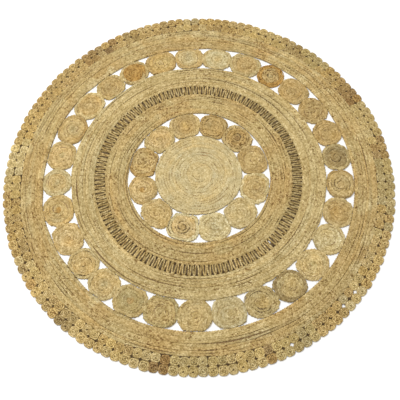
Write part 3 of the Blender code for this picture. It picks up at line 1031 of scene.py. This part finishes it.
def buildScrolls(node, values):
    chance = random.Random(values["draw"])
    crowns = crownsOf(node)
    pits = openPits(crowns)
    half = len(crowns) // 2
    lengths = sorted(point.length for point in crowns)
    betweenRows = (lengths[half - 1] + lengths[half]) / 2
    spots = []
    for point in crowns:
        spot = point + Vector((chance.gauss(0, values["stray"]), chance.gauss(0, values["stray"])))
        if point.length < betweenRows:
            spot -= point.normalized() * values["press"]
        for pit in pits:
            if (point - pit).length < values["openReach"]:
                spot = pit + (point - pit) * (1 + values["apart"])
        spots.append((*spot, values["seat"]))
    piece = meshObject(node + "_scrolls", spots)
    across = 2 * (values["outerRadius"] + values["cordWidth"] / 2)
    sizes, leans, kinds, colours, flecks = [], [], [], [], []
    for point in crowns:
        angle, radius = polar(*point)
        fit = values["fill"] * radius * fullTurn / half / across
        fit *= 1 + values["sizeSpread"] * chance.uniform(-1, 1)
        sizes += [fit, fit, 1.0]
        leans += [math.radians(values["tilt"] * chance.uniform(-1, 1)),
                  math.radians(values["tilt"] * chance.uniform(-1, 1)),
                  angle + values["turnSpread"] * chance.uniform(-1, 1)]
        closed = len(values["kinds"]) - 1
        kind = closed if chance.random() < values["openHearts"] else chance.randrange(closed)
        kind += len(values["kinds"]) * (point.length > betweenRows)
        if any((point - pit).length < values["openReach"] for pit in pits):
            kind = 2 * len(values["kinds"])
        kinds.append(float(kind))
        degrees = math.degrees(angle) + chance.gauss(0, values["toneStray"])
        name = next((word for upTo, word in scrollTones if degrees < upTo), "sand")
        least, more = values["sandMix"]
        tone = mixTone(linearTones[name], linearTones["sand"], least + more * chance.random())
        tone = tone * (values["shade"] + values["toneSpread"] * chance.uniform(-1, 1))
        warm = values["warmSpread"] * max(min(chance.gauss(0, 1), 2), -2)
        changes = (1 + values["warmRed"] * warm, 1, 1 - warm)
        colours += [part * share * change for part, share, change in zip(tone, values["tint"], changes)]
        colours.append(1.0)
        often = values["fleckShares"][name in values["flecked"]]
        flecks.append(often * chance.uniform(*values["fleckSpread"]))
    setAttribute(piece.data, "size", "FLOAT_VECTOR", sizes)
    setAttribute(piece.data, "lean", "FLOAT_VECTOR", leans)
    setAttribute(piece.data, "kind", "FLOAT", kinds)
    setAttribute(piece.data, "flecks", "FLOAT", flecks)
    setAttribute(piece.data, "tone", "FLOAT_COLOR", colours)
    runTree(piece, scrollTree(values), values, cordJute)
    sewIn(piece, node)


buildScrolls("scroll_border", scroll)
print("zigzag and scrolls laid")

# the sheet that shows between the turns: painted shade, a dark sheet under the braids for the shade in the
# gaps between them


def addSlab(mesh, outer, inner, bottom, top, tone, isOpen=lambda spot: False):
    # closed slab inside one loop of plan points, or ring between two, left out where it is open
    layer = mesh.verts.layers.float_color["tone"]

    def rimOf(loop, height):
        rim = [mesh.verts.new((*spot, height)) for spot in loop]
        for made in rim:
            made[layer] = (*tone, 1.0)
        return rim
    count = len(outer)
    if inner is None:
        low, high = rimOf(outer, bottom), rimOf(outer, top)
        mesh.faces.new(low[::-1])
        mesh.faces.new(high)
        for i in range(count):
            j = (i + 1) % count
            mesh.faces.new((low[i], low[j], high[j], high[i]))
        return
    rims = [rimOf(loop, height) for loop in (outer, inner) for height in (bottom, top)]
    left = []
    for i in range(count):
        corners = [Vector(loop[j % count]) for j in (i, i + 1) for loop in (outer, inner)]
        left.append(isOpen(sum(corners, Vector((0, 0))) / 4))
    for i in range(count):
        if left[i]:
            continue
        j = (i + 1) % count
        outLow, outHigh, inLow, inHigh = ((rim[i], rim[j]) for rim in rims)
        for near, far in ((outLow, outHigh), (inHigh, inLow), (outHigh, inHigh), (inLow, outLow)):
            mesh.faces.new((near[0], near[1], far[1], far[0]))
        for side, end in ((left[i - 1], 0), (left[j], 1)):
            if side:
                mesh.faces.new((outLow[end], outHigh[end], inHigh[end], inLow[end]))


def loopOf(plan, share, shift, sides):
    # plan points at one share of the way out, moved outwards by the shift
    points = []
    for number in range(sides):
        angle = fullTurn * number / sides
        out = (plan(angle, share + shadeSheet["nudge"]) - plan(angle, share - shadeSheet["nudge"])).normalized()
        points.append(tuple(plan(angle, share) + out * shift))
    return points


def addRings(mesh, plan, top, ringTones, openSpots):
    # rings side by side, so that an open spot is a small hole
    rings = len(ringTones)
    loops = [loopOf(plan, number / rings, 0.0, 2 * shadeSheet["sides"]) for number in range(rings + 1)]
    for inner, outer, tone in zip(loops, loops[1:], ringTones):
        addSlab(mesh, outer, inner, top - shadeSheet["thickness"], top, tone,
                lambda spot: any((spot - place).length < breadth / 2 for place, breadth in openSpots))


def buildShadeSheet(values):
    mesh = bmesh.new()
    mesh.verts.layers.float_color.new("tone")
    inset = values["inset"]
    for node in slotOf:
        if "coil" in node or "disc" in node:
            top, thick, tone = values["padTop"], values["padThickness"], values["padTone"]
            if node in looseTurns:
                top, thick, tone = values["looseTop"], values["thickness"], values["looseShade"]
            outline = loopOf(windingPlan(node), 1.0, -inset, values["padSides"])
            addSlab(mesh, outline, None, top - thick, top, tone)
    for node in bands:
        outer, inner = (loopOf(bandPlan(node), share, shift, values["sides"])
                        for share, shift in ((1.0, -inset), (0.0, inset)))
        addSlab(mesh, outer, inner, values["top"] - values["thickness"], values["top"], values["tone"])
    outsideLine, insideLine = ringEdges("middle_band")[0], ringEdges("inner_band")[1]
    bandEdge = ringEdges("outer_band")[1]

    def ladderPlan(angle, share):
        inner, outer = insideLine.radius(angle) - inset, outsideLine.radius(angle) + inset
        return spotAt(mixTone(inner, outer, share), angle)

    def borderPlan(angle, share):
        start = bandEdge.radius(angle) - values["borderUnder"]
        return spotAt(start + share * values["borderBreadth"], angle)
    openSpots = [(Vector(values["openSlot"]), values["slotBreadth"])]
    openSpots += [(pit, values["pitBreadth"]) for pit in openPits(crownsOf("scroll_border"))]
    # painted shade, darkest in the pits at the zigzag's turns along both edges of the ladder
    pit, middle = values["pitShade"], values["ladderShade"]
    addRings(mesh, ladderPlan, values["ladderTop"], (pit, middle, middle, pit), openSpots)
    borderShades = values["borderRings"] * (values["borderShade"],)
    addRings(mesh, borderPlan, values["borderTop"], borderShades, openSpots)
    mesh.verts.ensure_lookup_table()
    bmesh.ops.delete(mesh, geom=[vert for vert in mesh.verts if not vert.link_faces], context="VERTS")
    bmesh.ops.recalc_face_normals(mesh, faces=mesh.faces)
    area = sum(face.calc_area() for face in mesh.faces if abs(face.normal.z) > values["flatFrom"]) / 2
    piece = meshObject("rug_shade_sheet", [])
    mesh.to_mesh(piece.data)
    mesh.free()
    piece.data.materials.append(shadeSheetMaterial(values))
    return piece, area


# the sheet's painted shade, with a grain of lighter and darker places
def shadeSheetMaterial(values):
    material, tree, surface = newMaterial("painted shade sheet", values)
    place = addNode(tree, "ShaderNodeTexCoord", output="Object")
    rough = noiseOf(tree, place, values["grainScale"], 4.0)
    shade = mapped(tree, rough, *values["grain"])
    shaded = vectorCalc(tree, "SCALE", {0: shownAttribute(tree, "tone", "Color"), "Scale": shade})
    tree.links.new(shaded, surface["Base Color"])
    addBump(tree, surface, values, rough)
    return material


rugShadeSheet, shadeSheetArea = buildShadeSheet(shadeSheet)
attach(rugShadeSheet, "root")
print("ground laid,", round(shadeSheetArea, 3), "square metres")

# floor, light and camera

studio = {
    "floorReach": 6,
    "floorTone": (0.93, 0.93, 0.93),
    "roughness": 0.9,
    "specular": 0.1,
    "worldTone": (1.0, 1.0, 1.0),
    "worldStrength": 0.62,
    "lampPlace": (-0.7, 0.45, 3.2),
    "lampSize": 2.4,
    "lampPower": 95.0,
}


def buildStudio(values):
    far = values["floorReach"]
    floor = meshObject("floor", [(-far, -far, 0), (far, -far, 0), (far, far, 0), (-far, far, 0)],
                       faces=[(0, 1, 2, 3)])
    material, _, surface = newMaterial("plain floor", values)
    surface["Base Color"].default_value = (*values["floorTone"], 1.0)
    floor.data.materials.append(material)
    world = bpy.data.worlds.new("studio")
    bpy.context.scene.world = world
    world.use_nodes = True
    background = world.node_tree.nodes["Background"].inputs
    background["Color"].default_value = (*values["worldTone"], 1.0)
    background["Strength"].default_value = values["worldStrength"]
    lamp = bpy.data.lights.new("softbox", "AREA")
    lamp.size = values["lampSize"]
    lamp.energy = values["lampPower"]
    box = addObject("softbox", lamp)
    box.location = values["lampPlace"]
    box.rotation_euler = Vector(values["lampPlace"]).to_track_quat("Z", "Y").to_euler()
    bpy.context.scene.view_settings.view_transform = "Standard"


camera = {
    "lens": 50.1,
    "sensor": 36.0,
    "place": (0.0036, -0.9202, 1.9481),
    "tilt": 22.73,            # degrees from straight down
    "roll": -1.448,
}


def buildCamera(values):
    data = bpy.data.cameras.new("camera")
    data.lens = values["lens"]
    data.sensor_width = values["sensor"]
    made = addObject("camera", data)
    tilt = Matrix.Rotation(math.radians(values["tilt"]), 4, "X")
    roll = Matrix.Rotation(math.radians(values["roll"]), 4, "Z")
    made.matrix_world = Matrix.Translation(values["place"]) @ tilt @ roll
    bpy.context.scene.camera = made


buildStudio(studio)
buildCamera(camera)
